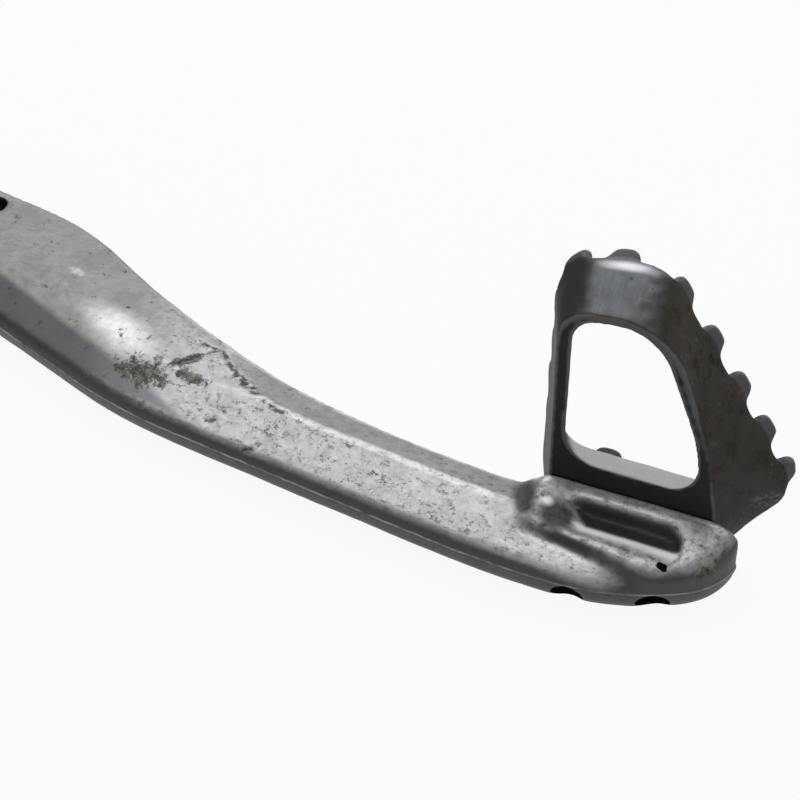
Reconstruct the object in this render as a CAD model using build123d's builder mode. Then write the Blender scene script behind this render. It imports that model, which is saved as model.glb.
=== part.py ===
"""Rear brake pedal of an off-road motorcycle, in millimetres.

The pedal lies on its inner side. +X runs forward from the pivot to the step, +Y is up on the
motorcycle and +Z points outwards along the pivot axis. The origin is on the pivot axis, on the
face of the frame that the pivot sleeve is clamped to.
"""
from build123d import *
import os
from math import atan2, cos, degrees, radians, sin, sqrt, tan

os.makedirs("parts", exist_ok=True)

# Pivot: sleeve, bush and seals in the boss
bolt_hole = 10.2
sleeve_diameter = 15.0
sleeve_proud = 0.5
sleeve_edge = 0.4
running_gap = 0.03
bush_wall = 1.5
seal_diameter = 22.0
seal_width = 3.0
seal_lip_gap = 0.1
seal_shell = 0.9
seal_recess = 0.2
boss_wall = 4.5
boss_height = 22.0
boss_edge = 1.0

# Brake rod lug behind the pivot
lug_length = 34.0
lug_depth = 8.0
lug_radius = 9.0
lug_root_radius = 12.0
lug_thickness = 8.0
lug_edge = 1.2
clevis_hole = 6.2

# Blade in plan, along its lower edge from the pivot to the tip
lower_edge_depth = 10.2
lower_edge_slope = 19.2
straight_length = 69.9
lower_bend_radius = 110.0
lower_bend_angle = 12.6
lower_rise_radius = 200.0
tip_radius = 42.0
tip_sweep = 33.0
tip_setback = 5.7
tip_width = 16.75
pedal_length = 191.6

# Blade in plan, along its upper edge from the step's seat back to the pivot
seat_length = 33.6
hollow_radius = 200.0
hollow_angle = 29.6
shoulder_radius = 75.0
shoulder_angle = 20.0

# Blade in section
blade_thickness = 12.0
parting_height = 5.7
flash_width = 0.7
flash_depth = 0.3
bevel_width = 9.5
bevel_angle = 22.0
bevel_rounding = 2.9
flank_share = 0.95
tool_margin = 4.0

# Upper bevel, which widens from nothing to half of the blade
crest_lead_length = 7.0
crest_depth = 9.0
crest_slope = 6.0
crest_length = 45.0
crest_bend_radius = 60.0
crest_bend_angle = 24.0
crest_tail_length = 70.0
crest_width = 16.0
crest_fall = 13.5

# Return spring hole in front of the boss
spring_hole = 6.0
spring_hole_x = 24.6
spring_hole_y = 2.2

# Pocketed pad at the tip
pad_height = 2.0
pad_tilt = 11.0
pad_ledge = 6.2
pad_lower_slope = 7.2
pad_blend = 10.0
pad_ramp_slope = 38.0
pad_ramp_turn = 9.0
pad_edge = 2.0
pocket_rear_wall = 4.4
pocket_front_wall = 8.4
pocket_upper_wall = 3.4
pocket_lower_wall = 7.1
pocket_depth = 3.2
pocket_draft = 10.0
pocket_floor_radius = 2.0

# Toothed step: corners of its outlines from the rear end of its foot, as (along X, height)
step_depth = 9.5
near_corners = [(0, 0), (0, 47.5), (18.5, 49.5), (26.2, 26.5), (31.5, 0)]
far_corners = [(-5.0, 0), (-3.6, 52), (14.2, 54.6), (39.8, 16), (28, 0)]
near_radii = [2, 6.5, 13, 40, 2]
far_radii = [10, 9, 6.5, 7, 2]
near_window = [(2.4, 18), (2.6, 46), (16.2, 48.3), (24.0, 27.5), (25.2, 18)]
far_window = [(-1.6, 13), (-1.2, 48.3), (12.4, 50.3), (33.4, 19.2), (30.4, 13)]
near_window_radii = [6, 4.5, 9.5, 25, 5]
far_window_radii = [5, 4.5, 9, 5, 4]
tooth_height = 3.4
tooth_length = 6.2
tooth_width = 3.0
tooth_corner = 1.4
tooth_tip_length = 4.2
tooth_tip_width = 2.2
tooth_tip_corner = 1.0
tooth_tip_edge = 0.7
tooth_line_shares = [0.47, 0.42, 0.42, 0.43, 0.43]
tooth_distances = [13.4, 20.7, 27.9, 35.4, 43.9, 51.8, 62.4, 71.9, 81.2, 90.1, 98.3]
tooth_leans = [0.5, 0.5, 0.5, 0.5, 0.5, 0.6, 0.5, 1.2, 1.4, 1.4, 1.8]
foot_tooth = 6.7
foot_tooth_inset = 2.4

# Rivets through the step's foot and the blade
rivet_diameter = 4.6
rivet_hole_gap = 0.1
rivet_height = 2.9
rivet_rear = 9.5
rivet_spacing = 13.5
rivet_head_diameter = 5.8
rivet_head_height = 1.5
rivet_head_edge = 0.5
rivet_tail_recess = 4.5

# Levels and places worked out from the sizes above
boss_diameter = seal_diameter + 2 * boss_wall
blade_bottom = sleeve_proud
blade_top = blade_bottom + blade_thickness
parting_z = blade_bottom + parting_height
boss_top = blade_bottom + boss_height
seat_start = pedal_length - seat_length
pocket_length = seat_length - pocket_rear_wall - pocket_front_wall
pad_depth = tip_width - pad_ledge
pocket_width = tip_width - pocket_upper_wall - pocket_lower_wall
pocket_line_depth = pocket_upper_wall + pocket_width / 2
pad_top = blade_top + pad_height
bush_bore = sleeve_diameter + 2 * running_gap
bush_diameter = bush_bore + 2 * bush_wall
seal_seat = seal_width + seal_recess
rivet_z = blade_bottom + rivet_height
rivet_places = [(seat_start + rivet_rear + place * rivet_spacing, rivet_z) for place in range(2)]


def edge_plane(path):
    """Plane across the start of a path, with X to the path's left and Y along +Z."""
    heading = path % 0
    return Plane(origin=path @ 0, x_dir=(-heading.Y, heading.X, 0), z_dir=heading)


# Plan of the blade
rise_angle = lower_edge_slope - lower_bend_angle
tip_curve_length = lower_rise_radius * sin(radians(rise_angle)) + tip_radius * sin(radians(tip_sweep))
run_end = pedal_length - tip_setback - tip_curve_length
with BuildLine() as lower_edge:
    rear = PolarLine((0, -lower_edge_depth), straight_length, -lower_edge_slope)
    bend = JernArc(rear @ 1, rear % 1, lower_bend_radius, lower_bend_angle)
    run = PolarLine(bend @ 1, (run_end - (bend @ 1).X) / cos(radians(rise_angle)), direction=bend % 1)
    rise = JernArc(run @ 1, run % 1, lower_rise_radius, rise_angle)
    nose = JernArc(rise @ 1, rise % 1, tip_radius, tip_sweep)
    seat_y = (rise @ 1).Y + tip_width
    TangentArc(nose @ 1, (pedal_length, seat_y), tangent=nose % 1)

with BuildLine() as upper_edge:
    hollow = JernArc((seat_start, seat_y), (-1, 0), hollow_radius, -hollow_angle)
    shoulder = JernArc(hollow @ 1, hollow % 1, shoulder_radius, shoulder_angle)
    PolarLine(shoulder @ 1, -(shoulder @ 1).X / (shoulder % 1).X, direction=shoulder % 1)

with BuildLine() as crest:
    crest_start = (seat_start + crest_lead_length, seat_y - crest_depth)
    crest_line = PolarLine(crest_start, crest_length, 180 - crest_slope)
    crest_bend = JernArc(crest_line @ 1, crest_line % 1, crest_bend_radius, -crest_bend_angle)
    PolarLine(crest_bend @ 1, crest_tail_length, direction=crest_bend % 1)

with BuildLine() as belly_path:
    add(lower_edge.line)
    PolarLine(lower_edge.line @ 1, tool_margin, direction=lower_edge.line % 1)

with BuildLine() as bevel_path:
    add([rear, bend, run, rise, nose])

# Sections that the forging dies leave along the two edges, drawn as what they take away
flash_top = parting_z + flash_width / 2
flash_bottom = parting_z - flash_width / 2
belly_radius = flash_bottom - blade_bottom
tool_top = blade_top + tool_margin
tool_bottom = blade_bottom - tool_margin
flank_top = blade_top - bevel_width * tan(radians(bevel_angle))
flank_rounding = (flank_top - flash_top) / tan(radians(45 - bevel_angle / 2))

with BuildSketch(edge_plane(lower_edge.line)) as bevel_tool:
    with BuildLine():
        bevel = FilletPolyline(
            (flash_depth + bevel_width, blade_top),
            (flash_depth, flank_top),
            (flash_depth, flash_top),
            radius=[min(bevel_rounding, flank_share * flank_rounding)],
        )
        Polyline(
            bevel @ 1,
            (-tool_margin, flash_top),
            (-tool_margin, tool_top),
            (flash_depth + bevel_width, tool_top),
            bevel @ 0,
        )
    make_face()


def flank_tool(path):
    """What the dies take away along an edge: a flank, a flash line and a round belly."""
    with BuildSketch(edge_plane(path)) as tool:
        with BuildLine():
            Polyline(
                (flash_depth, tool_top),
                (flash_depth, flash_top),
                (-flash_depth, flash_top),
                (-flash_depth, flash_bottom),
                (flash_depth, flash_bottom),
            )
            belly = JernArc((flash_depth, flash_bottom), (0, -1), belly_radius, 90)
            Polyline(
                belly @ 1,
                (flash_depth + belly_radius, tool_bottom),
                (-tool_margin, tool_bottom),
                (-tool_margin, tool_top),
                (flash_depth, tool_top),
            )
        make_face()
    return tool.sketch


with BuildSketch(edge_plane(crest.line)) as crest_tool:
    with BuildLine():
        Polyline(
            (0, blade_top),
            (-crest_width, blade_top - crest_width * tan(radians(crest_fall))),
            (-crest_width, tool_top),
            (0, tool_top),
            close=True,
        )
    make_face()

with BuildSketch() as blade_plan:
    with BuildLine():
        add(lower_edge.line)
        Line(lower_edge.line @ 1, upper_edge.line @ 0)
        add(upper_edge.line)
        Line(upper_edge.line @ 1, lower_edge.line @ 0)
    make_face()

# Plan of the pad, back to where its ramp has sunk into the blade
pad_front = 2 * pedal_length
pad_reach = (blade_thickness + pad_height) / tan(radians(pad_ramp_slope))
pad_side_fall = tan(radians(pad_lower_slope))
with BuildSketch() as pad_plan:
    add(blade_plan.sketch)
    with BuildLine():
        Polyline(
            (seat_start - pad_reach, seat_y + tool_margin),
            (seat_start - pad_reach, seat_y - pad_depth + pad_reach * pad_side_fall),
            (seat_start + seat_length, seat_y - pad_depth - seat_length * pad_side_fall),
            (pad_front, -pedal_length),
            (pad_front, seat_y + tool_margin),
            close=True,
        )
    make_face(mode=Mode.INTERSECT)
    fillet(pad_plan.vertices().sort_by(Axis.Y)[0], radius=pad_blend)

lower_tool = flank_tool(belly_path.line)
upper_tool = flank_tool(upper_edge.line)

# Pad: its top falls away from the step, and a ramp leads up to it from the blade
pad_place = Location((seat_start, seat_y, pad_top))
pad_face = Plane(pad_place * Rotation(pad_tilt, 0, 0))
pad_ramp = Plane(pad_place * Rotation(0, 0, pad_ramp_turn) * Rotation(0, -pad_ramp_slope, 0))
with BuildPart() as pad:
    with BuildSketch(Plane.XY.offset(blade_bottom)):
        add(pad_plan.sketch)
    extrude(amount=blade_thickness + pad_height + tool_margin)
    split(bisect_by=pad_face, keep=Keep.BOTTOM)
    split(bisect_by=pad_ramp, keep=Keep.BOTTOM)
    pad_rims = pad.faces().sort_by(Axis.Z)[-1].edges().filter_by(
        lambda edge: edge.center().Y < seat_y - flash_depth
    )
    fillet(pad_rims, radius=pad_edge)

# Arm: blade, tip pad, pivot boss and rod lug in one forging
with BuildPart() as pedal_arm:
    with BuildSketch(Plane.XY.offset(blade_bottom)):
        add(blade_plan.sketch)
    extrude(amount=blade_thickness)
    sweep(sections=bevel_tool.sketch, path=bevel_path.line, mode=Mode.SUBTRACT)
    sweep(sections=crest_tool.sketch, path=crest.line, mode=Mode.SUBTRACT)
    # Raised pad
    add(pad.part)
    sweep(sections=lower_tool, path=belly_path.line, mode=Mode.SUBTRACT)
    sweep(sections=upper_tool, path=upper_edge.line, mode=Mode.SUBTRACT)
    # Pocket in the pad
    with BuildSketch(pad_face):
        with Locations((pocket_rear_wall + pocket_length / 2, -pocket_line_depth)):
            SlotOverall(pocket_length, pocket_width)
    extrude(amount=-pocket_depth, taper=pocket_draft, mode=Mode.SUBTRACT)
    pocket_floor = pedal_arm.faces().filter_by(pad_face).sort_by(Axis.Z)[0]
    fillet(pocket_floor.edges(), radius=pocket_floor_radius)
    # Boss and lug
    with BuildSketch(Plane.XY.offset(blade_bottom)):
        Circle(boss_diameter / 2)
    extrude(amount=boss_height)
    fillet(pedal_arm.faces().sort_by(Axis.Z)[-1].edges(), radius=boss_edge)
    with BuildSketch(Plane.XY.offset(blade_bottom)):
        Circle(lug_root_radius)
        with Locations((-lug_length, -lug_depth)):
            Circle(lug_radius)
        make_hull()
    extrude(amount=lug_thickness)
    lug_face = pedal_arm.faces().sort_by(Axis.X)[0]
    fillet(lug_face.edges().sort_by(Axis.Z)[-1], radius=lug_edge)
    # Holes
    with Locations((0, 0, boss_top)):
        CounterBoreHole(bush_diameter / 2, seal_diameter / 2, seal_seat)
    with Locations(Location((0, 0, blade_bottom), (180, 0, 0))):
        CounterBoreHole(bush_diameter / 2, seal_diameter / 2, seal_seat)
    with Locations((-lug_length, -lug_depth, blade_bottom + lug_thickness)):
        Hole(clevis_hole / 2)
    with Locations((spring_hole_x, spring_hole_y, blade_top)):
        Hole(spring_hole / 2)
    with BuildSketch(Plane.XZ.offset(-seat_y)):
        with Locations(*rivet_places):
            Circle(rivet_diameter / 2 + rivet_hole_gap)
    extrude(amount=tip_radius, mode=Mode.SUBTRACT)

pedal_arm.part.label = "pedal_arm"
export_step(pedal_arm.part, "parts/pedal_arm.step")


def outline(plane, corners, radii):
    """Rounded outline on a plane, from its corners and their radii."""
    with BuildSketch(plane) as shape:
        with BuildLine():
            FilletPolyline(*corners, radius=radii, close=True)
        make_face()
    return shape.sketch


# Toothed step: a flared ring on a foot
foot = Plane(origin=(seat_start, seat_y, blade_bottom), x_dir=(1, 0, 0), z_dir=(0, -1, 0))
rim = foot.offset(-step_depth)

# Line that the teeth stand on, a share of the way from the rim's outline to its window
tooth_corners = [
    (a[0] + share * (b[0] - a[0]), a[1] + share * (b[1] - a[1]))
    for a, b, share in zip(far_corners, far_window, tooth_line_shares)
]
tooth_radii = [a + share * (b - a) for a, b, share in zip(far_radii, far_window_radii, tooth_line_shares)]
with BuildLine() as tooth_line:
    FilletPolyline(*tooth_corners, radius=tooth_radii[1:-1])


def tooth_place(distance):
    """Place on the tooth line, turned along it, at a distance from its rear end."""
    point = tooth_line.wire().position_at(distance, position_mode=PositionMode.LENGTH)
    along = tooth_line.wire().tangent_at(distance, position_mode=PositionMode.LENGTH)
    return Location((point.X, point.Y, 0), (0, 0, degrees(atan2(along.Y, along.X))))


def tooth_outlines(place, lean):
    """Root and tip of a tooth, whose tip leans out with the flare of the rim."""
    root_plane = Plane(rim.location * place)
    with BuildSketch(root_plane) as root:
        RectangleRounded(tooth_length, tooth_width, tooth_corner)
    with BuildSketch(root_plane.offset(-tooth_height)) as tip:
        with Locations((0, lean)):
            RectangleRounded(tooth_tip_length, tooth_tip_width, tooth_tip_corner)
    return [root.sketch, tip.sketch]


teeth = [tooth_outlines(tooth_place(distance), lean) for distance, lean in zip(tooth_distances, tooth_leans)]
teeth.append(tooth_outlines(Location((foot_tooth, far_window[0][1] - foot_tooth_inset, 0)), 0))
ring_outlines = [outline(foot, near_corners, near_radii), outline(rim, far_corners, far_radii)]
near_opening = outline(foot, near_window, near_window_radii)
far_opening = outline(rim, far_window, far_window_radii)

with BuildPart() as step:
    loft(ring_outlines, ruled=True)
    loft([near_opening, far_opening], ruled=True, mode=Mode.SUBTRACT)
    for tooth in teeth:
        loft(tooth, ruled=True)
    chamfer(step.faces().group_by(Axis.Y)[-1].edges(), length=tooth_tip_edge)
    with BuildSketch(Plane.XZ.offset(-seat_y)):
        with Locations(*rivet_places):
            Circle(rivet_diameter / 2 + rivet_hole_gap)
    extrude(amount=-step_depth, mode=Mode.SUBTRACT)

step.part.label = "step"
export_step(step.part, "parts/step.step")

# Rivets, headed on the step's foot and sunk in the blade's lower flank
head_y = seat_y + step_depth
with BuildPart() as step_rivets:
    for x, z in rivet_places:
        edge_y = nose.arc_center.Y - sqrt(tip_radius**2 - (x - nose.arc_center.X) ** 2)
        with BuildSketch(Plane.XZ.offset(-head_y)):
            with Locations((x, z)):
                Circle(rivet_diameter / 2)
        extrude(amount=head_y - edge_y - rivet_tail_recess)
        with BuildSketch(Plane.XZ.offset(-head_y)):
            with Locations((x, z)):
                Circle(rivet_head_diameter / 2)
        extrude(amount=-rivet_head_height)
    chamfer(step_rivets.faces().group_by(Axis.Y)[-1].edges(), length=rivet_head_edge)

step_rivets.part.label = "step_rivets"
export_step(step_rivets.part, "parts/step_rivets.step")

# Pivot sleeve, clamped to the frame by the pivot bolt
with BuildPart() as pivot_sleeve:
    with BuildSketch():
        Circle(sleeve_diameter / 2)
        Circle(bolt_hole / 2, mode=Mode.SUBTRACT)
    extrude(amount=boss_height + 2 * sleeve_proud)
    sleeve_rims = pivot_sleeve.edges().filter_by(GeomType.CIRCLE).group_by(SortBy.RADIUS)[-1]
    chamfer(sleeve_rims, length=sleeve_edge)

pivot_sleeve.part.label = "pivot_sleeve"
export_step(pivot_sleeve.part, "parts/pivot_sleeve.step")

# Bush pressed into the boss between the seal recesses
with BuildPart() as pivot_bush:
    with BuildSketch(Plane.XY.offset(blade_bottom + seal_seat)):
        Circle(bush_diameter / 2)
        Circle(bush_bore / 2, mode=Mode.SUBTRACT)
    extrude(amount=boss_height - 2 * seal_seat)

pivot_bush.part.label = "pivot_bush"
export_step(pivot_bush.part, "parts/pivot_bush.step")


def dust_seal(open_z, closed_z):
    """Channel-section seal whose lip runs round the sleeve and whose web closes the boss."""
    outer = seal_diameter / 2
    lip = sleeve_diameter / 2 + seal_lip_gap
    web_z = closed_z + seal_shell * (1 if open_z > closed_z else -1)
    with BuildPart() as seal:
        with BuildSketch(Plane.XZ):
            with BuildLine():
                Polyline(
                    (outer, closed_z),
                    (outer, open_z),
                    (outer - seal_shell, open_z),
                    (outer - seal_shell, web_z),
                    (lip + seal_shell, web_z),
                    (lip + seal_shell, open_z),
                    (lip, open_z),
                    (lip, closed_z),
                    close=True,
                )
            make_face()
        revolve(axis=Axis.Z)
    return seal.part


inner_seal = dust_seal(blade_bottom + seal_seat, blade_bottom + seal_recess)
inner_seal.label = "dust_seal_inner"
export_step(inner_seal, "parts/dust_seal_inner.step")

outer_seal = dust_seal(boss_top - seal_seat, boss_top - seal_recess)
outer_seal.label = "dust_seal_outer"
export_step(outer_seal, "parts/dust_seal_outer.step")
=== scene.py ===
# %% [markdown]
# # Dressing a rear brake pedal
# The pedal of an off-road motorcycle is a forged aluminium arm with a cast, toothed step riveted to
# its tip. The solids give its sizes, its pieces and its joint. This lesson gives them soft edges,
# a worn skin and the studio of a product photograph.
#
# The frame is loaded first, and its bounds are kept, because the dressed pedal has to stay inside
# nearly the same box.

# %% Load the frame
from math import radians

import bmesh
import bpy
import numpy as np
from mathutils import Matrix, Vector, noise
from mathutils.bvhtree import BVHTree


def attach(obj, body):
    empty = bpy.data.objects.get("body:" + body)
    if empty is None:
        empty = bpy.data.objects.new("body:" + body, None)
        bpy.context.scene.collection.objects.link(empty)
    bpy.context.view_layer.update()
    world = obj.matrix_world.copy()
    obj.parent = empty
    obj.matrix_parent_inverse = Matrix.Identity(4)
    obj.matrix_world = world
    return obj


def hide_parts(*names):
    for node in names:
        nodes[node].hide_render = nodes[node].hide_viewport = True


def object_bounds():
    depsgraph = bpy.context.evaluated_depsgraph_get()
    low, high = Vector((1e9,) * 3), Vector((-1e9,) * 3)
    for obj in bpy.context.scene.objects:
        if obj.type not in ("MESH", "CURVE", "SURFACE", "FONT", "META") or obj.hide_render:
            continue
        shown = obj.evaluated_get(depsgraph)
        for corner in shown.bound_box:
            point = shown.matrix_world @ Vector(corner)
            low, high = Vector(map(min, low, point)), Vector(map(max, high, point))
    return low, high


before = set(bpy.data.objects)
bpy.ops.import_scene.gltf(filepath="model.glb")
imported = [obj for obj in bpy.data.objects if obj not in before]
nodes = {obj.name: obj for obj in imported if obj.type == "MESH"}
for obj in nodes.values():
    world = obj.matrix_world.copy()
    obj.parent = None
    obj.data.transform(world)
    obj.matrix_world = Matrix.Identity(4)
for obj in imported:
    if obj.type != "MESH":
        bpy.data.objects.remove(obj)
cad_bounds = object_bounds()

MM = 0.001
print("nodes:", ", ".join(sorted(nodes)))

# %% [markdown]
# ## Camera
# The photograph looks down on the outer side of the pedal from in front and below, with a long
# lens. A camera could be aimed with a constraint, but a matrix of turns also holds the small roll
# of the picture.

# %% Camera
camera_azimuth = 25.25
camera_elevation = 40.0
camera_roll = -0.75
camera_place = Vector((230.379, -240.314, 216.649)) * MM
sensor_width, lens = 36.0, 81.0
nearest_seen = 10.0 * MM

camera_data = bpy.data.cameras.new("photo camera")
camera_data.sensor_width = sensor_width
camera_data.lens = lens
camera_data.clip_start = nearest_seen
camera = bpy.data.objects.new("photo camera", camera_data)
turn = Matrix.Rotation(radians(camera_azimuth), 4, "Z")
tilt = Matrix.Rotation(radians(90.0 - camera_elevation), 4, "X")
roll = Matrix.Rotation(radians(camera_roll), 4, "Z")
camera.matrix_world = Matrix.Translation(camera_place) @ turn @ tilt @ roll
bpy.context.scene.collection.objects.link(camera)
bpy.context.scene.camera = camera
print("camera at", [round(v, 4) for v in camera_place])

# %% [markdown]
# ## Shader maths
# A worn surface is mostly arithmetic on noise. The Math nodes could be wired one by one, but that
# hides the idea, so a small class wraps a socket and lets Python's own operators add the nodes.

# %% A socket that understands arithmetic


class Signal:
    """A shader value that can be added, subtracted and multiplied."""

    def __init__(self, finish, socket):
        self.finish = finish
        self.socket = socket

    def maths(self, operation, first, second):
        return self.finish.node("ShaderNodeMath", {"operation": operation}, {0: first, 1: second})

    def __add__(self, other):
        return self.maths("ADD", self, other)

    def __radd__(self, other):
        return self.maths("ADD", other, self)

    def __sub__(self, other):
        return self.maths("SUBTRACT", self, other)

    def __rsub__(self, other):
        return self.maths("SUBTRACT", other, self)

    def __mul__(self, other):
        return self.maths("MULTIPLY", self, other)

    def __rmul__(self, other):
        return self.maths("MULTIPLY", other, self)

    def __or__(self, other):
        return self.maths("MAXIMUM", self, other)


print("shader sockets understand arithmetic")

# %% [markdown]
# ## A finish and its masks
# Every finish here is one surface whose colour and roughness are pushed about by masks. Masks
# could be painted by hand. Here they come from noise, from the place on the piece and from numbers
# measured on its mesh, so a changed shape is dressed again without repainting. They all read
# Object coordinates, so they stay where they are when the pedal swings.

# %% Finish


class Finish:
    """A material that is built up from nodes."""

    def __init__(self, name):
        self.material = bpy.data.materials.new(name)
        self.material.use_nodes = True
        self.tree = self.material.node_tree
        self.surface = self.tree.nodes["Principled BSDF"]
        self.place = self.node("ShaderNodeTexCoord", output="Object")

    def node(self, kind, settings=None, sockets=None, output=0):
        """Add a node: its settings first, then the values or links of its sockets."""
        made = self.tree.nodes.new(kind)
        for key, value in (settings or {}).items():
            setattr(made, key, value)
        for key, value in (sockets or {}).items():
            if isinstance(value, Signal):
                self.tree.links.new(value.socket, made.inputs[key])
            else:
                made.inputs[key].default_value = value
        return Signal(self, made.outputs[output])

    def axis(self, name):
        """The place along X, Y or Z, in metres."""
        return self.node("ShaderNodeSeparateXYZ", sockets={0: self.place}, output=name)

    def attribute(self, name):
        """A value that was measured on the mesh and stored on its points."""
        return self.node("ShaderNodeAttribute", {"attribute_name": name}, output="Fac")

    def noise(self, size, detail=2.0, rough=0.5, shift=0.0, stretch=(1.0, 1.0, 1.0)):
        """Cloudy noise from 0 to 1, with features of a size in millimetres."""
        moved = self.node(
            "ShaderNodeMapping",
            sockets={"Vector": self.place, "Location": (shift, shift, shift), "Scale": stretch},
        )
        return self.node(
            "ShaderNodeTexNoise",
            sockets={
                "Vector": moved,
                "Scale": 1.0 / (size * MM),
                "Detail": detail,
                "Roughness": rough,
            },
        )

    def ramp(self, value, low, high):
        """A soft step that goes from 0 at low to 1 at high."""
        return self.node(
            "ShaderNodeMapRange",
            {"interpolation_type": "SMOOTHSTEP"},
            {"Value": value, "From Min": low, "From Max": high},
        )

    def patch(self, centre, size, angle=0.0, inner=0.35):
        """1 inside an ellipsoid given in millimetres, fading to 0 at its skin."""
        inside = self.node(
            "ShaderNodeMapping",
            {"vector_type": "TEXTURE"},
            {
                "Vector": self.place,
                "Location": [v * MM for v in centre],
                "Rotation": (0.0, 0.0, radians(angle)),
                "Scale": [v * MM for v in size],
            },
        )
        length = {"operation": "LENGTH"}
        reach = self.node("ShaderNodeVectorMath", length, {0: inside}, output="Value")
        return self.ramp(reach, 1.0, inner)

    def tear(self, mask, grain, amount, low, high):
        """A mask whose edge is torn by noise, cut off softly between two levels."""
        return self.ramp(mask + amount * (grain - 0.5), low, high)

    def blend(self, share, first, second):
        """Colour that goes from first to second."""
        return self.node(
            "ShaderNodeMix", {"data_type": "RGBA"}, {0: share, 6: first, 7: second}, output=2
        )

    def bump(self, height, distance):
        """A bump whose height of 1 stands for a distance in millimetres."""
        return self.node("ShaderNodeBump", sockets={"Height": height, "Distance": distance * MM})

    def cover(self, share, shader):
        """Lay another shader over the surface, by its share."""
        output = self.tree.nodes["Material Output"].inputs["Surface"]
        under = Signal(self, output.links[0].from_socket)
        mix = self.node("ShaderNodeMixShader", sockets={0: share, 1: under, 2: shader})
        self.tree.links.new(mix.socket, output)

    def set(self, **values):
        """Feed the surface's sockets, with links or with plain numbers."""
        for key, value in values.items():
            socket = self.surface.inputs[key.replace("_", " ")]
            if isinstance(value, Signal):
                self.tree.links.new(value.socket, socket)
            else:
                socket.default_value = value


def grey(level, warmth=0.0):
    """A grey, a little warmer or cooler than neutral."""
    return (level * (1.0 + warmth), level, level * (1.0 - warmth), 1.0)


print("shader helpers are ready")

# %% [markdown]
# ## Soft copies of the solids
# A forging has no sharp edge anywhere: the dies are radiused, and years of boots round what is
# left. Bevelling hundreds of CAD edges one by one is fragile, because they meet at odd angles.
# A fine voxel remesh of a merged copy, relaxed for a few rounds, rounds every edge alike.
#
# The two rivet bores are filled almost to the flank, and the fill is later painted black as the
# shade of the holes. The fill could be a piece of its own, but then a seam would show, so a short
# plug in each bore, whose end follows the flank around it, is merged into the arm's copy.

# %% Merge, remesh and relax
relax_share = 0.5
merge_distance = 0.001


def relax(piece, rounds, chosen=None):
    """Move points towards their neighbours, all of them or those whose place is chosen."""
    form = bmesh.new()
    form.from_mesh(piece.data)
    points = [vert for vert in form.verts if chosen is None or chosen(vert.co / MM)]
    for _ in range(rounds):
        bmesh.ops.smooth_vert(
            form,
            verts=points,
            factor=relax_share,
            use_axis_x=True,
            use_axis_y=True,
            use_axis_z=True,
        )
    form.to_mesh(piece.data)
    form.free()
    print(piece.name, "relaxed", len(points), "points", rounds, "times")


def soft_copy(node, name, voxel, rounds, fill=None):
    """A merged, remeshed and relaxed copy of a CAD node, with something filled in first."""
    mesh = nodes[node].data.copy()
    mesh.materials.clear()
    piece = bpy.data.objects.new(name, mesh)
    bpy.context.scene.collection.objects.link(piece)
    form = bmesh.new()
    form.from_mesh(mesh)
    bmesh.ops.remove_doubles(form, verts=form.verts, dist=merge_distance * MM)
    if fill:
        fill(form)
    form.to_mesh(mesh)
    form.free()
    voxels = piece.modifiers.new("voxels", "REMESH")
    voxels.mode = "VOXEL"
    voxels.voxel_size = voxel * MM
    depsgraph = bpy.context.evaluated_depsgraph_get()
    piece.data = bpy.data.meshes.new_from_object(piece.evaluated_get(depsgraph))
    piece.data.name = name
    piece.modifiers.clear()
    relax(piece, rounds)
    piece.data.shade_smooth()
    print(name, "has", len(piece.data.polygons), "faces")
    return piece


print("soft copies can be made")

# %% Plugs in the bores, and the two copies
bore_places = (167.5, 181.0)
bore_height = 3.4
bore_radius = 2.4
plug_overlap = 0.15
plug_sides = 48
plug_recess = 0.35
plug_depth = 3.0
beside_bore = bore_radius + 1.0
below_arm = -60.0
arm_voxel, step_voxel = 0.46, 0.255


def pack_bores(form):
    """Fill the rivet bores with plugs, to a little below the flank around them."""
    flank = BVHTree.FromBMesh(form)
    along_y = Matrix.Rotation(radians(90.0), 4, "X")
    radius = (bore_radius + plug_overlap) * MM
    for place in bore_places:
        plug = bmesh.ops.create_cone(
            form,
            cap_ends=True,
            segments=plug_sides,
            radius1=radius,
            radius2=radius,
            depth=MM,
            matrix=along_y,
        )
        for vert in plug["verts"]:
            height = vert.co.z + bore_height * MM
            left, right = (
                flank.ray_cast((x * MM, below_arm * MM, height), (0.0, 1.0, 0.0))[0].y
                for x in (place - beside_bore, place + beside_bore)
            )
            share = (vert.co.x / MM / beside_bore + 1.0) / 2.0
            mouth = left + (right - left) * share + plug_recess * MM
            depth = 0.0 if vert.co.y < 0.0 else plug_depth * MM
            vert.co = (vert.co.x + place * MM, mouth + depth, height)
    print("packed", len(bore_places), "bores")


arm = soft_copy("pedal_arm", "forged_arm", arm_voxel, rounds=5, fill=pack_bores)
step = soft_copy("step", "cast_step", step_voxel, rounds=13)

# %% [markdown]
# ## A pad and teeth worn round
# The pad at the tip takes the boot's sole, and its rim is far rounder than the rest of the arm. The
# step's teeth have lost their corners to the same boots. A sculpting brush would do, but more
# rounds of the same relaxing, on the chosen points alone, come out the same on every run. The edge
# along the step's seat is left out, because the step still sits flat on it.

# %% Round the pad and the teeth


def on_pad(place):
    """The pad's top and sides, below the step's seat."""
    return place.x > 151.0 and place.z > 8.6 and place.y < -30.6


def on_teeth(place):
    """The part of the step beyond its rim."""
    return place.y > -20.6


def at_bores(place):
    """The lower flank around the mouths of the bores."""
    return 163.0 < place.x < 186.0 and place.y < -38.5 and place.z < 8.0


relax(arm, rounds=16, chosen=on_pad)
relax(arm, rounds=6, chosen=at_bores)
relax(step, rounds=34, chosen=on_teeth)
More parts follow.
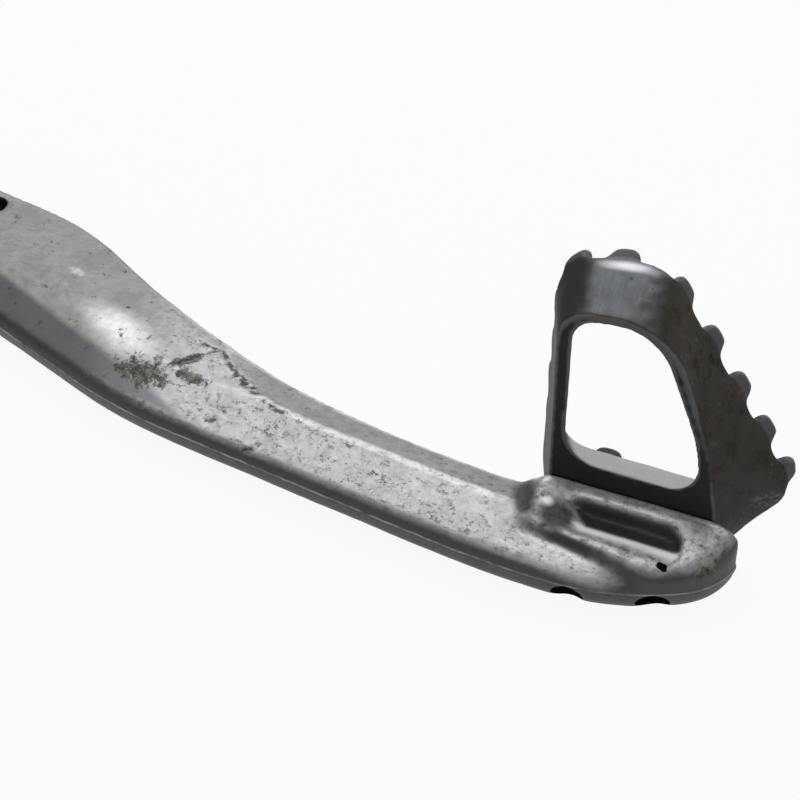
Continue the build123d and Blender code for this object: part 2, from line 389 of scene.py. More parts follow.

# %% [markdown]
# ## A dished pocket
# Boots have also worn the pocket into a dish: its far wall and its front end are steep, and its
# floor rises gently to a lower rim that is worn down. A boolean could cut such a dish, but it would
# leave a sharp edge. Instead points are moved square to the pad's top, the floor up and the rim
# down, onto one slope. How far they lie from the rim is stored for the painted shade on the floor
# and for the painted highlight where the floor turns up.

# %% Helpers that read and write the mesh as arrays


def mesh_arrays(mesh):
    """Points, edges and normals of a mesh as arrays."""
    points = np.zeros(len(mesh.vertices) * 3)
    mesh.vertices.foreach_get("co", points)
    edges = np.zeros(len(mesh.edges) * 2, dtype=np.int64)
    mesh.edges.foreach_get("vertices", edges)
    normals = np.zeros(len(mesh.vertices) * 3, dtype=np.float32)
    mesh.vertex_normals.foreach_get("vector", normals)
    return points.reshape(-1, 3), edges.reshape(-1, 2), normals.reshape(-1, 3)


def store(mesh, name, values):
    """Keep one number per point on the mesh."""
    layer = mesh.attributes.new(name, "FLOAT", "POINT")
    layer.data.foreach_set("value", values.astype(np.float32))


def smooth_step(value, low, high):
    """A soft step from 0 at low to 1 at high."""
    share = np.clip((value - low) / (high - low), 0.0, 1.0)
    return share * share * (3.0 - 2.0 * share)


print("mesh helpers are ready")

# %% Dish the pocket
pad_corner = np.array((158.0, -29.0, 14.5))
pad_tilt = radians(11.0)
pocket_start, pocket_end = 9.2, 21.5
pocket_middle, pocket_half_width = 7.3, 3.9
pocket_deepest = 4.5
dish_slope = 0.4
rim_drop = 0.05
rim_spread, end_spread = 0.3, 1.4
lower_rim_from = 10.0
rim_rise = 0.6


def pocket_places(piece):
    """Points, place across the pad, depth below its top, reach from the rim, distance inside."""
    points, _, _ = mesh_arrays(piece.data)
    local = points / MM - pad_corner
    across = -np.cos(pad_tilt) * local[:, 1] - np.sin(pad_tilt) * local[:, 2]
    depth = np.sin(pad_tilt) * local[:, 1] - np.cos(pad_tilt) * local[:, 2]
    beyond = local[:, 0] - np.clip(local[:, 0], pocket_start, pocket_end)
    inside = pocket_half_width - np.hypot(beyond, across - pocket_middle)
    above = np.maximum(pocket_middle - across, 0.0)
    behind = np.minimum(beyond, 0.0)
    reach = pocket_half_width - np.hypot(behind, across - pocket_middle + above) + above
    return points, across, depth, reach, inside


def dish(piece):
    """Lift the pocket's floor towards the lower rim, and let the rim itself down into the dish."""
    points, across, depth, reach, inside = pocket_places(piece)
    lift = depth - rim_drop - dish_slope * np.maximum(reach, 0.0)
    spread = np.where(across > lower_rim_from, rim_spread, end_spread)
    on_floor = (inside > -spread) & (depth > 0.0) & (depth < pocket_deepest)
    on_rim = (inside > 0.0) & (across > pocket_middle) & (depth > -rim_rise)
    raised = np.where(on_floor, np.maximum(lift, 0.0), 0.0)
    lift = raised + np.where(on_rim, np.minimum(lift, 0.0), 0.0)
    up = np.array((0.0, -np.sin(pad_tilt), np.cos(pad_tilt)))
    piece.data.vertices.foreach_set("co", (points + lift[:, None] * up * MM).ravel())
    piece.data.update()
    print("pocket moved by", round(float(lift.min()), 2), "to", round(float(lift.max()), 2), "mm")


def in_pocket(place):
    """The pocket and its rim."""
    return 160.5 < place.x < 185.0 and -41.4 < place.y < -31.6 and place.z > 8.0


dish(arm)
relax(arm, rounds=10, chosen=in_pocket)

# %% Keep the pocket's painted shade and its painted highlight
pocket_edge = -0.2, 0.5
pocket_highest = -0.5
shade_reach = 3.2, 4.2
stripe_begins, stripe_ends = (1.2, 2.8), (4.0, 3.2)
stripe_across = 6.8, 8.0

_, across, depth, reach, inside = pocket_places(arm)
pocket = smooth_step(inside, *pocket_edge) * (depth < pocket_deepest) * (depth > pocket_highest)
# painted shade: how dark the pocket's floor is painted, stored as pocket
store(arm.data, "pocket", pocket * smooth_step(reach, *shade_reach))
# painted highlight: the bright line where the pocket's floor turns up to its lower rim
stripe_highlight = smooth_step(reach, *stripe_ends) * smooth_step(reach, *stripe_begins)
stripe_highlight = stripe_highlight * smooth_step(across, *stripe_across)
store(arm.data, "stripe_highlight", pocket * stripe_highlight)
print("pocket covers", int((pocket > 0.5).sum()), "points")

# %% [markdown]
# ## A pillowed nose
# In front of the pocket the pad rolls over to the tip like a pillow. A lattice could bend it, but
# the two arcs of the tip's outline already tell how far a point lies from the edge, and points near
# the edge are let down.

# %% Let the nose down
nose_arc = np.array((163.0, -3.75)), 42.0
tip_arc = np.array((179.06, -28.44)), 12.56
arcs_meet = radians(33.0)
pillow_width = 6.0
pillow_drop = 2.4
pillow_heights = 7.5, 12.5
pillow_from, pillow_full = 172.0, 183.0


def pillow(piece):
    """Lower the tip's top towards its outline."""
    points, _, _ = mesh_arrays(piece.data)
    plan = points[:, :2] / MM
    in_nose, in_tip = (
        radius - np.linalg.norm(plan - middle, axis=1) for middle, radius in (nose_arc, tip_arc)
    )
    from_middle = plan - nose_arc[0]
    turned = np.arctan2(from_middle[:, 0], -from_middle[:, 1]) > arcs_meet
    share = np.clip(1.0 - np.where(turned, in_tip, in_nose) / pillow_width, 0.0, 1.0)
    height = smooth_step(points[:, 2] / MM, *pillow_heights)
    front = smooth_step(plan[:, 0], pillow_from, pillow_full)
    drop = pillow_drop * share**2 * height * front
    points[:, 2] -= drop * MM
    piece.data.vertices.foreach_set("co", points.ravel())
    piece.data.update()
    print("nose let down by up to", round(float(drop.max()), 2), "mm")


def on_nose(place):
    """The top of the tip in front of the pocket."""
    return place.x > 174.0 and place.z > 8.0 and place.y < -30.0


pillow(arm)
relax(arm, rounds=14, chosen=on_nose)

# %% [markdown]
# ## Scars and an uneven skin
# Stones have cut a line of scars along the ridge, with a few deep pits in front of it. Bump in the
# material could show them, but not where they cross the ridge's outline, so each is a short trough
# between two points, pressed into the mesh by a bell-shaped depth that noise tears. A forging is
# never quite flat either, so a slow noise moves its points by up to a tenth of a millimetre.

# %% Uneven skin


def press(piece, depth):
    """Move points into the piece, by a depth in millimetres for each."""
    points, _, normals = mesh_arrays(piece.data)
    moved = points - normals * (depth * MM)[:, None]
    piece.data.vertices.foreach_set("co", moved.ravel())
    piece.data.update()


def unevenness(piece, waves):
    """Slow noise on a piece's points, from waves given as (length, height) in millimetres."""
    points, _, _ = mesh_arrays(piece.data)
    depth = np.zeros(len(points))
    for length, height in waves:
        for index, point in enumerate(points):
            depth[index] += height * noise.noise(Vector(point) / (length * MM))
    return depth


press(arm, unevenness(arm, [(9.0, 0.10), (2.2, 0.03)]))
press(step, unevenness(step, [(6.0, 0.10), (1.8, 0.04)]))
print("skins are uneven")

# %% Scars
SCARS = [
    # start and end on the outer face, width and depth in millimetres
    ((86.8, -20.4), (90.8, -20.4), 0.65, 0.18),
    ((90.8, -20.4), (96.4, -25.2), 0.70, 0.24),
    ((96.8, -25.8), (102.3, -28.4), 1.05, 0.26),
    ((104.6, -30.2), (108.9, -31.6), 0.60, 0.22),
    ((84.0, -28.6), (90.0, -21.2), 0.70, 0.20),
    ((96.0, -36.4), (97.8, -35.9), 0.50, 0.28),
    ((105.4, -39.5), (106.8, -39.2), 0.45, 0.24),
    ((82.4, -36.5), (83.0, -36.2), 0.28, 0.12),
    ((44.5, -4.6), (47.5, -3.2), 0.25, 0.08),
    ((43.0, -1.8), (45.5, -0.8), 0.22, 0.07),
    ((52.0, -10.4), (57.5, -6.6), 0.22, 0.07),
]
tear_size = 0.9
tear_mean, tear_swing, tear_most = 0.6, 0.8, 1.4
outer_facing = 0.5
full_scar = 0.2


def scar_depth(piece, scars):
    """Depth of all scars at each point of the outer face."""
    points, _, normals = mesh_arrays(piece.data)
    flat = points[:, :2] / MM
    depth = np.zeros(len(points))
    for start, end, width, deep in scars:
        along = np.array(end) - np.array(start)
        share = np.clip((flat - start) @ along / (along @ along), 0.0, 1.0)
        away = np.linalg.norm(flat - start - share[:, None] * along, axis=1) / width
        depth = np.maximum(depth, deep * np.exp(-(away**2)))
    tears = [noise.noise(Vector(point) / (tear_size * MM)) for point in points]
    torn = np.clip(tear_mean + tear_swing * np.array(tears), 0.0, tear_most)
    return depth * (normals[:, 2] > outer_facing) * torn


scars = scar_depth(arm, SCARS)
press(arm, scars)
store(arm.data, "scar", np.clip(scars / full_scar, 0.0, 1.0))
print("scars reach", round(float(scars.max()), 3), "mm deep")

# %% [markdown]
# ## Measuring wear on the mesh
# Edges that stand out get polished, and on the arm's ridge that lightening is also a painted
# highlight; hollows are made darker. The Geometry node has a Pointiness output for this, but only
# Cycles fills it, and it changes with the fineness of the mesh. Both follow from how far a point
# lies above or below the mean of its neighbours, so that is measured once and stored on the mesh
# for the shaders to read. The direction that each point faces is stored too: it tells the bright
# outer faces from the flanks, which keep their dark skin and are painted darker as shade.

# %% Curvature and facing
own_share = 0.4
strongest_wear = 97.0


def neighbour_mean(values, edges):
    """Mean of each point's neighbours."""
    total = np.zeros_like(values)
    count = np.zeros(len(values))
    for a, b in ((0, 1), (1, 0)):
        np.add.at(total, edges[:, a], values[edges[:, b]])
        np.add.at(count, edges[:, a], 1.0)
    count = np.maximum(count, 1.0)
    return total / (count[:, None] if values.ndim > 1 else count)


def measure_wear(piece, spread):
    """Store how far each point stands out of or lies in its surroundings, and where it faces."""
    points, edges, normals = mesh_arrays(piece.data)
    rise = np.einsum("ij,ij->i", points - neighbour_mean(points, edges), normals)
    for _ in range(spread):
        rise = own_share * rise + (1.0 - own_share) * neighbour_mean(rise, edges)
    scale = np.percentile(np.abs(rise), strongest_wear)
    store(piece.data, "stands_out", np.clip(rise / scale, 0.0, 1.0))
    store(piece.data, "lies_in", np.clip(-rise / scale, 0.0, 1.0))
    for axis, name in enumerate(("faces_x", "faces_y", "faces_z")):
        store(piece.data, name, normals[:, axis])
    print(piece.name, "wear scale", round(scale / MM, 5), "mm")


measure_wear(arm, spread=4)
measure_wear(step, spread=5)

# %% Inside and outside of the step's ring
ring_middle = np.array((172.0, 0.0, 33.0)) * MM
points, _, normals = mesh_arrays(step.data)
outwards = points - ring_middle
outwards[:, 1] = 0.0
outwards /= np.linalg.norm(outwards, axis=1)[:, None]
facing_out = np.einsum("ij,ij->i", outwards, normals)
store(step.data, "faces_out", facing_out)
print("step has", int((facing_out > 0.0).sum()), "outer points")

# %% [markdown]
# ## Forged aluminium: the faces
# The arm's outer face is not one tone. The rear flat is a warm dull grey, the lower bevel beside it
# is smooth and blue, and the front, where boots rub, is bright. The bevel behind the ridge is a
# plain grey, and everything that turns away keeps the dark skin of the forging, which is also
# painted shade on the flanks that turn from the light. Each could be a material of its own, but
# then they would meet in hard lines. Masks by place and facing let the tones fade into each other
# within one material.

# %% Regions of the arm
bevel_slope = 0.398


def arm_masks(finish):
    """Masks of the arm's regions, by place and facing."""
    x = finish.axis("X")
    facing_y = finish.attribute("faces_y")
    facing_z = finish.attribute("faces_z")
    edge_line = finish.axis("Y") + bevel_slope * x
    rear_part = finish.ramp(x, 112.0 * MM, 88.0 * MM)
    return {
        "front": finish.ramp(x, 64.0 * MM, 92.0 * MM),
        "blue": finish.ramp(edge_line, 0.5 * MM, -1.3 * MM) * rear_part,
        "upper": finish.ramp(facing_y, 0.06, 0.20) * finish.ramp(x, 78.0 * MM, 104.0 * MM),
        # dark skin of the forging on faces that turn away, also painted shade there
        "skin_and_shade": finish.ramp(facing_z, 0.90, 0.36),
        "belly": finish.ramp(finish.axis("Z"), 6.4 * MM, 5.2 * MM),
        "pad": finish.ramp(x, 154.0 * MM, 160.0 * MM),
        # the pad's ramp, which is painted in shade in the pad's colour
        "ramp": finish.patch((155.8, -34.2, 12.5), (7.6, 2.7, 5.0), -66.0, 0.4),
    }


print("arm regions are ready")

# %% Tones of the arm's faces


def rear_flat(finish, mottle):
    """The warm, dull flat at the rear, blotched and faintly scratched."""
    flat = finish.blend(mottle, grey(0.30, 0.035), grey(0.37, 0.02))
    blotch = finish.ramp(finish.noise(6.5, 5.0, 0.7, shift=3.7), 0.46, 0.60)
    flat = finish.blend(blotch * 0.45, flat, grey(0.23, 0.05))
    scratch = finish.ramp(finish.noise(1.5, 5.0, 0.75, 5.2, (0.35, 1.3, 1.0)), 0.60, 0.70)
    return finish.blend(scratch * 0.5, flat, grey(0.13, 0.03))


def glare_and_nick(finish):
    """A painted highlight of glare on the flat, and a torn nick behind it."""
    # painted highlight: a broad glare on the flat; the nick is a real scraped mark
    painted_glare = finish.patch((70.5, -22.8, 12.3), (14.5, 5.8, 6.0), -24.0, 0.1)
    nick = finish.patch((53.4, -10.7, 12.5), (4.6, 2.2, 4.0), -20.0, 0.0)
    torn = finish.noise(1.5, 5.0, 0.75, shift=1.9)
    return painted_glare | 0.45 * finish.tear(nick, torn, 2.4, 0.45, 0.95)


def arm_tones(finish, mask, cloud, mottle):
    """Colour of the arm's faces before any mark is made on them."""
    front = finish.blend(mottle, grey(0.44, -0.01), grey(0.62, -0.012))
    colour = finish.blend(mask["front"], rear_flat(finish, mottle), front)
    upper = finish.blend(mottle, grey(0.30, 0.01), grey(0.42, 0.01))
    colour = finish.blend(mask["upper"], colour, upper)
    colour = finish.blend(mask["pad"], colour, finish.blend(mottle, grey(0.19), grey(0.62)))
    # painted shade: the nose is darker where it rolls over towards the tip
    nose = finish.patch((188.8, -32.0, 11.0), (7.6, 10.0, 7.0), 0.0, 0.3)
    nose_shade_tone = finish.blend(mottle, grey(0.07, 0.05), grey(0.22, 0.03))
    colour = finish.blend(nose * 0.8, colour, nose_shade_tone)
    # painted highlight of the glare, and the bright torn nick
    colour = finish.blend(glare_and_nick(finish) * (0.75 + 0.5 * mottle), colour, grey(0.87, 0.022))
    blue = finish.blend(cloud, grey(0.09, -0.04), grey(0.17, -0.035))
    paler = finish.ramp(finish.axis("X"), 60.0 * MM, 100.0 * MM)
    blue = finish.blend(paler, blue, grey(0.30, -0.03))
    colour = finish.blend(mask["blue"], colour, blue)
    # the dark skin, partly real and partly painted shade on the flanks
    skin_and_shade = finish.blend(cloud, grey(0.060, 0.01), grey(0.10, 0.03))
    belly = finish.blend(cloud, grey(0.055, 0.06), grey(0.085, 0.05))
    skin_and_shade = finish.blend(mask["belly"], skin_and_shade, belly)
    colour = finish.blend(mask["skin_and_shade"], colour, skin_and_shade)
    # painted highlight: a bright line along the lower bevel where it meets the pad
    bevel_highlight = finish.patch((165.5, -43.3, 9.4), (14.0, 2.6, 4.0), -3.0, 0.3)
    return finish.blend(bevel_highlight * (0.55 + 0.4 * mottle), colour, grey(0.82))


print("arm tones are ready")

# %% [markdown]
# ## Forged aluminium: the marks
# Fine dark flecks crowd together on the bright face, with larger pits among them. Dried mud sits
# around the scars and on the nose. A picture of dirt could be laid over the arm, but it would bring
# its own light with it. Each mark is noise instead, cut off at a level and kept to its own part of
# the arm.

# %% Flecks, pits and mud
MUD = [
    # middle, half lengths and turn of each patch, and how much of it is covered
    ((80.0, -30.6, 11.5), (9.6, 5.0, 6.0), -4.0, 1.0),
    ((86.6, -25.6, 12.0), (8.0, 2.2, 6.0), 48.0, 1.0),
    ((89.0, -29.4, 12.0), (6.4, 2.2, 6.0), -6.0, 0.9),
    ((187.6, -36.2, 10.8), (3.6, 2.6, 3.6), 35.0, 1.1),
]


def arm_flecks(finish, mask):
    """Dark flecks and pits, crowded in places."""
    crowd = finish.ramp(finish.noise(5.0, 4.0, 0.65, shift=7.0), 0.36, 0.62)
    lower_rim = finish.ramp(finish.attribute("faces_z"), 0.93, 0.84)
    crowd = crowd | lower_rim
    open_face = (1.0 - 0.7 * mask["skin_and_shade"]) * (1.0 - 0.8 * mask["blue"])
    open_face = open_face * (0.25 + 0.75 * mask["front"])
    fleck = finish.ramp(finish.noise(0.9, 6.0, 0.85, 3.0, (0.7, 1.0, 1.0)), 0.53, 0.64)
    pit = finish.ramp(finish.noise(1.5, 6.0, 0.8, 1.7, (0.7, 1.0, 1.0)), 0.585, 0.66)
    return fleck * open_face * (0.16 + 0.44 * crowd), pit * open_face * (0.26 + 0.60 * crowd)


def arm_mud(finish):
    """Dried mud, ragged at its edge."""
    area = 0.0
    for middle, size, angle, covered in MUD:
        area = finish.patch(middle, size, angle, 0.0) * covered | area
    return finish.tear(area, finish.noise(2.6, 6.0, 0.8, shift=5.0), 3.8, 0.42, 0.64)


def arm_marks(finish, colour, mask):
    """Make the marks on the arm's tones; give the colour and each mark's mask."""
    fleck, pit = arm_flecks(finish, mask)
    colour = finish.blend(fleck, colour, grey(0.15, 0.03))
    colour = finish.blend(pit * 0.7, colour, grey(0.10, 0.05))
    mud = arm_mud(finish)
    flakes = finish.ramp(finish.noise(1.2, 5.0, 0.8, shift=2.5), 0.40, 0.66)
    mud_tone = finish.blend(flakes, (0.034, 0.031, 0.021, 1.0), (0.30, 0.29, 0.23, 1.0))
    colour = finish.blend(mud * 0.85, colour, mud_tone)
    torn = finish.noise(1.4, 6.0, 0.85, shift=2.2)
    scar = finish.tear(finish.attribute("scar"), torn, 2.4, 0.36, 0.66)
    colour = finish.blend(scar * 0.85, colour, grey(0.060, 0.03))
    return colour, fleck, pit, mud


print("arm marks are ready")

# %% [markdown]
# ## Forged aluminium: pocket, edges and gloss
# The pocket's floor is painted dark as shade, with a painted highlight where it turns up to its
# lower rim.
# The ridge and the corners are polished, and on the ridge the lightening is also a painted
# highlight.
# A thin line of flash runs along the flank where the dies met, painted lighter as its highlight.
# The bores are plugged, and the plugs are painted black as the shade of the holes; a dark metal
# would do too, but at such a low angle metal mirrors the white floor, so a dull black shader is
# laid over them. Last come roughness and a shallow bump for the flecks and pits.

# %% Pad, pocket and bores
bore_mouths = (-44.0, -42.0)
bore_cover = (2.9, 7.0, 3.1)


def arm_pad(finish, colour, mask, stripe_highlight):
    """Painted shade on the pad's ramp and near wall, painted highlights along the crease and on the
    rear corner, and the pocket's painted shade and painted highlight.
    """
    # painted shade: the pad's ramp, its near corner and its near wall are darkened
    shade = finish.patch((162.4, -36.9, 12.9), (4.6, 3.9, 4.0), -12.0, 0.4)
    shade = shade | finish.patch((165.5, -40.4, 11.0), (11.0, 1.3, 4.0), -6.0, 0.2)
    colour = finish.blend(0.92 * (mask["ramp"] | shade), colour, grey(0.055))
    # painted highlight: a bright line along the crease at the foot of the pad
    crease_highlight = finish.patch((164.5, -41.6, 10.0), (12.0, 0.7, 4.0), -6.0, 0.1)
    colour = finish.blend(crease_highlight * 0.9, colour, grey(0.92))
    # painted highlight: a small bright spot on the pad's rear corner
    knob_highlight = finish.patch((159.8, -34.7, 13.6), (1.8, 1.4, 3.0), 0.0, 0.1)
    colour = finish.blend(knob_highlight, colour, grey(0.92))
    # painted shade on the pocket's floor
    colour = finish.blend(finish.attribute("pocket"), colour, grey(0.050))
    # painted highlight where the pocket's floor turns up
    return finish.blend(stripe_highlight, colour, grey(0.98))


def arm_bores(finish):
    """Cover the bores in the lower flank, and the spot beside the pocket, with dull black."""
    spot = finish.patch((181.4, -39.3, 11.3), (1.9, 1.4, 4.0), 10.0, 0.0)
    dark = finish.tear(spot, finish.noise(1.2, 4.0, 0.7, shift=1.1), 1.6, 0.45, 0.55)
    # painted shade: the plugged bores are covered black, as the shade of deep holes
    for place, mouth in zip(bore_places, bore_mouths):
        dark = dark | finish.patch((place, mouth, bore_height), bore_cover, 0.0, 0.9)
    finish.cover(dark, finish.node("ShaderNodeBsdfDiffuse", sockets={"Color": grey(0.006)}))


print("pad and bores are ready")

# %% Edges and the whole finish
flash_height, flash_half_width = 6.45, 0.26
anywhere = 900.0


def arm_edges(finish, colour, mask):
    """Edges lightened by polish and, on the ridge, as a painted highlight; darker hollows; the
    flash line painted lighter as its highlight.
    """
    # edges lightened by polish; on the ridge this lightening is also a painted highlight
    lightened_edges = finish.ramp(finish.attribute("stands_out"), 0.14, 0.50) * (1.0 - mask["skin_and_shade"])
    lightened_edges = lightened_edges * finish.ramp(finish.noise(1.4, 4.0, 0.7, shift=4.4), 0.30, 0.55)
    lightened_edges = lightened_edges * (0.12 + 0.88 * mask["front"])
    colour = finish.blend(lightened_edges * 0.65, colour, grey(0.82))
    # darker in hollows, by how far points lie in
    darkened_hollows = finish.ramp(finish.attribute("lies_in"), 0.30, 0.90)
    colour = finish.blend(darkened_hollows * 0.30, colour, grey(0.05, 0.1))
    layer = (anywhere, anywhere, flash_half_width)
    # the flash line along the parting, painted lighter as its highlight
    flash_highlight = finish.patch((100.0, -30.0, flash_height), layer, 0.0, 0.3) * mask["skin_and_shade"]
    flash_highlight = flash_highlight * finish.ramp(finish.noise(5.0, 4.0, 0.7, shift=8.2), 0.30, 0.62)
    return finish.blend(flash_highlight * 0.8, colour, grey(0.36, 0.04)), lightened_edges


def forged_skin():
    """The arm's whole finish."""
    finish = Finish("forged aluminium")
    cloud = finish.noise(11.0, 4.0, 0.6)
    mottle = finish.ramp(finish.noise(2.2, 6.0, 0.72, shift=6.0), 0.30, 0.72)
    mask = arm_masks(finish)
    colour = arm_tones(finish, mask, cloud, mottle)
    colour, fleck, pit, mud = arm_marks(finish, colour, mask)
    colour, lightened_edges = arm_edges(finish, colour, mask)
    stripe_highlight = finish.attribute("stripe_highlight")
    arm_bores(finish)
    rough = 0.36 + 0.12 * cloud + 0.14 * fleck + 0.08 * mask["skin_and_shade"] + 0.30 * mud - 0.08 * lightened_edges
    finish.set(
        Base_Color=arm_pad(finish, colour, mask, stripe_highlight),
        Roughness=rough,
        Metallic=1.0 - 0.4 * mask["pad"] - 0.6 * (mud | pit | stripe_highlight),
        Normal=finish.bump(mud * 0.8 + mottle * 0.2 - fleck * 0.7 - pit * 1.4, 0.06),
        Specular_IOR_Level=0.25,
    )
    return finish.material


arm.data.materials.append(forged_skin())
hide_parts("pedal_arm")
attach(arm, "pedal")
print("arm is dressed")

# %% [markdown]
# ## Cast aluminium
# The step is a casting. Its near face is painted near black as shade, the flared walls are matte
# and warm, the foot inside the window is painted pale where it faces the light, and the top is
# rubbed blue-grey by boots, with painted streaks of reflection and painted shade at its rear end.
# Mud has stained the walls, and the teeth have painted highlights on their caps. The faces could be
# selected and given materials one by one, but the remesh left no such faces, so the direction that
# each point faces tells them apart.

# %% Tones of the step


def step_tones(finish, cloud):
    """Colour of the step by where it faces."""
    facing_z = finish.attribute("faces_z")
    outside = finish.ramp(finish.attribute("faces_out"), -0.1, 0.2)
    high = finish.ramp(finish.axis("Z"), 38.0 * MM, 45.0 * MM)
    # painted shade: the near face, turned away from the light, is painted near black
    near_face_shade = finish.ramp(finish.attribute("faces_y"), -0.84, -0.96)
    matte = finish.blend(cloud, grey(0.028, 0.16), grey(0.064, 0.12))
    # painted light: the foot inside the window, facing up to the lamps, is painted pale
    lit_foot = finish.ramp(facing_z, 0.30, 0.70) * (1.0 - outside)
    colour = finish.blend(lit_foot, matte, finish.blend(cloud, grey(0.48), grey(0.64)))
    top = finish.ramp(facing_z, 0.74, 0.88) * high * outside
    # painted reflection: streaks across the curved top band stand for its shading
    reflection_streaks = finish.noise(1.8, 4.0, 0.7, 3.0, (3.0, 0.4, 0.4))
    colour = finish.blend(top, colour, finish.blend(reflection_streaks, grey(0.10, -0.05), grey(0.21, -0.05)))
    rear = finish.ramp(finish.attribute("faces_x"), -0.60, -0.85)
    colour = finish.blend(rear, colour, finish.blend(cloud, grey(0.10, 0.02), grey(0.16, 0.02)))
    # painted shade: the top band is darker towards its rear end
    shaded_end = finish.ramp(finish.axis("X"), 162.0 * MM, 158.5 * MM) * high
    colour = finish.blend(shaded_end * 0.85, colour, grey(0.032, -0.04))
    bare = top | lit_foot | rear
    walls = outside * (1.0 - (bare | near_face_shade | shaded_end))
    return finish.blend(near_face_shade, colour, grey(0.020, 0.05)), top, bare, walls


print("step tones are ready")

# %% Marks of the step


def wall_stains(finish, colour, walls):
    """Mud stains and pale specks on the flared walls."""
    stain = walls * finish.ramp(finish.noise(3.4, 5.0, 0.75, shift=9.0), 0.50, 0.64)
    stain = stain * (0.55 + 0.45 * finish.patch((180.5, -23.0, 42.5), (9.0, 9.0, 8.0), 0.0, 0.1))
    colour = finish.blend(stain * 0.85, colour, (0.012, 0.008, 0.004, 1.0))
    pale = walls * finish.ramp(finish.noise(1.6, 5.0, 0.75, shift=5.4), 0.56, 0.68)
    return finish.blend(pale * 0.5, colour, grey(0.10, 0.1))


def teeth_tones(finish, colour):
    """Grey teeth with painted highlights on their caps."""
    teeth = finish.ramp(finish.axis("Y"), -19.8 * MM, -19.0 * MM)
    colour = finish.blend(teeth, colour, grey(0.09))
    # painted highlight on the teeth's caps
    cap_highlights = finish.ramp(finish.axis("Y"), -17.6 * MM, -16.6 * MM)
    cap_highlights = cap_highlights * finish.ramp(finish.noise(1.5, 4.0, 0.7, shift=3.3), 0.30, 0.60)
    return finish.blend(cap_highlights * 0.9, colour, grey(0.40))


def step_wear(finish, colour):
    """A painted highlight on the top band, a scraped spot, worn edges and darker hollows."""
    # painted highlight: a thin bright arc along the top band below the first tooth
    painted_glare = finish.patch((165.8, -20.9, 53.8), (7.0, 1.1, 3.0), 0.0, 0.1)
    colour = finish.blend(painted_glare * 0.9, colour, grey(0.85, -0.02))
    scrape = finish.patch((193.5, -21.5, 14.6), (5.5, 3.0, 3.0), 0.0, 0.3)
    scrape = scrape * finish.ramp(finish.noise(1.0, 5.0, 0.75, shift=6.1), 0.44, 0.58)
    colour = finish.blend(scrape * 0.7, colour, grey(0.20, 0.03))
    lightened_edges = finish.ramp(finish.attribute("stands_out"), 0.50, 0.95)
    colour = finish.blend(lightened_edges * 0.22, colour, grey(0.45))
    # darker in hollows, by how far points lie in
    darkened_hollows = finish.ramp(finish.attribute("lies_in"), 0.35, 0.9)
    return finish.blend(darkened_hollows * 0.5, colour, grey(0.02, 0.1))


print("step marks are ready")

# %% Cast skin


def cast_skin():
    """The step's whole finish."""
    finish = Finish("cast aluminium")
    cloud = finish.noise(5.0, 5.0, 0.65, shift=2.0)
    grain = finish.noise(0.6, 4.0, 0.65, shift=4.0)
    chips = finish.ramp(finish.noise(1.2, 4.0, 0.7, shift=1.2), 0.64, 0.71)
    colour, top, bare, walls = step_tones(finish, cloud)
    colour = wall_stains(finish, colour, walls)
    colour = finish.blend(chips * 0.5, colour, grey(0.012, 0.1))
    colour = teeth_tones(finish, colour)
    finish.set(
        Base_Color=step_wear(finish, colour),
        Roughness=0.62 + 0.10 * cloud - 0.28 * top,
        Metallic=bare,
        Normal=finish.bump(grain * 0.6 + cloud * 0.6 - chips * 0.6, 0.05),
        Specular_IOR_Level=0.2,
    )
    return finish.material


step.data.materials.append(cast_skin())
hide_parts("step")
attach(step, "pedal")
print("step is dressed")

# %% [markdown]
# ## Small pieces
# The rivets, the sleeve, the bush and the seals are turned or moulded pieces, and mostly hidden.
# They could be remeshed like the arm, but their solids already have their true edges, so they only
# get their finishes.

# %% Finishes of the small pieces
shade_share = 0.7


def turned_metal(name, colour, rough):
    """Metal from a lathe: fine rings of roughness along Z, and slow clouds."""
    finish = Finish(name)
    cloud = finish.noise(3.0, 4.0, 0.65)
    rings = finish.noise(0.5, 3.0, 0.6, 1.0, (0.15, 0.15, 1.0))
    dark = tuple(shade_share * v for v in colour[:3]) + (1.0,)
    finish.set(
        Base_Color=finish.blend(cloud, dark, colour),
        Roughness=rough + 0.10 * cloud + 0.06 * rings,
        Metallic=1.0,
        Normal=finish.bump(rings, 0.01),
    )
    return finish.material


def seal_rubber():
    """Moulded black rubber, dusty in places."""
    finish = Finish("seal rubber")
    dust = finish.ramp(finish.noise(2.0, 5.0, 0.7), 0.45, 0.75)
    finish.set(
        Base_Color=finish.blend(dust, grey(0.016), grey(0.045, 0.05)),
        Roughness=0.55 + 0.2 * dust,
        Metallic=0.0,
    )
    return finish.material


def dress(node, material):
    """Give a CAD node a finish in place of its plain one."""
    mesh = nodes[node].data
    if mesh.materials:
        mesh.materials[0] = material
    else:
        mesh.materials.append(material)


rubber = seal_rubber()
small_pieces = {
    "step_rivets": turned_metal("rivet steel", grey(0.20, 0.03), 0.40),
    "pivot_sleeve": turned_metal("sleeve steel", grey(0.55), 0.22),
    "pivot_bush": turned_metal("bush bronze", (0.50, 0.33, 0.16, 1.0), 0.40),
    "dust_seal_inner": rubber,
    "dust_seal_outer": rubber,
}
for node, material in small_pieces.items():
    dress(node, material)
print("dressed", len(small_pieces), "small pieces")

# %% [markdown]
# ## Studio floor
# The photograph stands on pure white. A picture could be cut out and laid on white afterwards, but
# then the metal would still mirror a grey floor. Here the floor is a plain pale sheet that looks
# nearly white to the camera and in reflections, and still takes the pedal's faint shadow.

# %% Floor
floor_half_width = 4.0
floor_gap = 0.05
white_share = 0.93


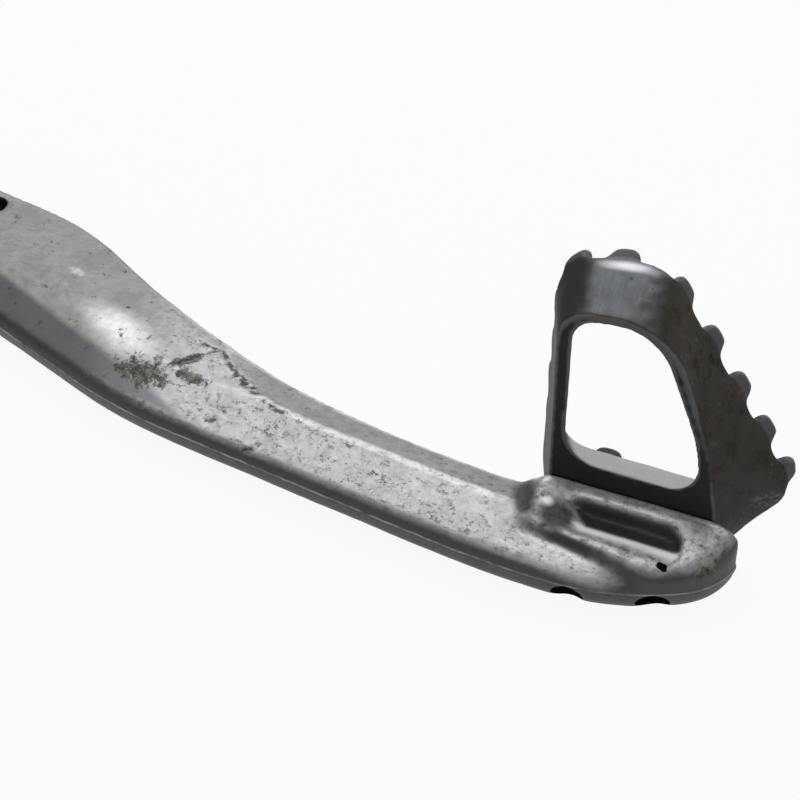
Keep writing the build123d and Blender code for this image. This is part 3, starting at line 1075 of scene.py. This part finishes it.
def floor_white():
    """Pale floor that is seen as white."""
    finish = Finish("studio floor")
    seen = finish.node("ShaderNodeLightPath", output="Is Camera Ray")
    rays = seen.socket.node.outputs
    for ray in ("Is Glossy Ray", "Is Transmission Ray"):
        seen = seen | Signal(finish, rays[ray])
    glow = finish.node("ShaderNodeEmission", sockets={"Color": grey(1.0), "Strength": 1.0})
    finish.set(Base_Color=grey(0.85), Roughness=0.9)
    finish.cover(white_share * seen, glow)
    return finish.material


floor_mesh = bpy.data.meshes.new("studio_floor")
form = bmesh.new()
bmesh.ops.create_grid(form, x_segments=1, y_segments=1, size=floor_half_width)
floor_height = cad_bounds[0][2] - floor_gap * MM
bmesh.ops.translate(form, verts=form.verts, vec=(0.0, 0.0, floor_height))
form.to_mesh(floor_mesh)
form.free()
floor = bpy.data.objects.new("studio_floor", floor_mesh)
bpy.context.scene.collection.objects.link(floor)
floor_mesh.materials.append(floor_white())
print("floor at", round(floor_height, 5))

# %% [markdown]
# ## Lamps
# Worn metal shows what it reflects, so a photographer's lamps are large and hardly brighter than
# white paper. Small lamps could give as much light, but each would leave a hard glint on the ridge.
# One softbox hangs overhead, one stands behind the pedal, and the room itself is a dim grey.

# %% Softboxes and room
room_grey = (0.25, 0.25, 0.255, 1.0)


def softbox(name, place, aim, width, height, power):
    """A soft rectangular lamp that looks at a point."""
    data = bpy.data.lights.new(name, "AREA")
    data.shape = "RECTANGLE"
    data.size = width
    data.size_y = height
    data.energy = power
    made = bpy.data.objects.new(name, data)
    made.location = place
    made.rotation_euler = (Vector(aim) - Vector(place)).to_track_quat("-Z", "Y").to_euler()
    bpy.context.scene.collection.objects.link(made)


softbox(
    "overhead softbox",
    place=(-0.10, 0.25, 0.75),
    aim=(-0.10, 0.25, 0.0),
    width=1.6,
    height=1.3,
    power=6.4,
)
softbox(
    "back softbox",
    place=(0.0, 1.0, 0.42),
    aim=(0.11, -0.02, 0.01),
    width=1.6,
    height=0.7,
    power=2.2,
)

world = bpy.data.worlds.new("studio")
bpy.context.scene.world = world
world.use_nodes = True
world.node_tree.nodes["Background"].inputs["Color"].default_value = room_grey
bpy.context.scene.view_settings.view_transform = "Standard"
print("lamps:", len(bpy.data.lights))
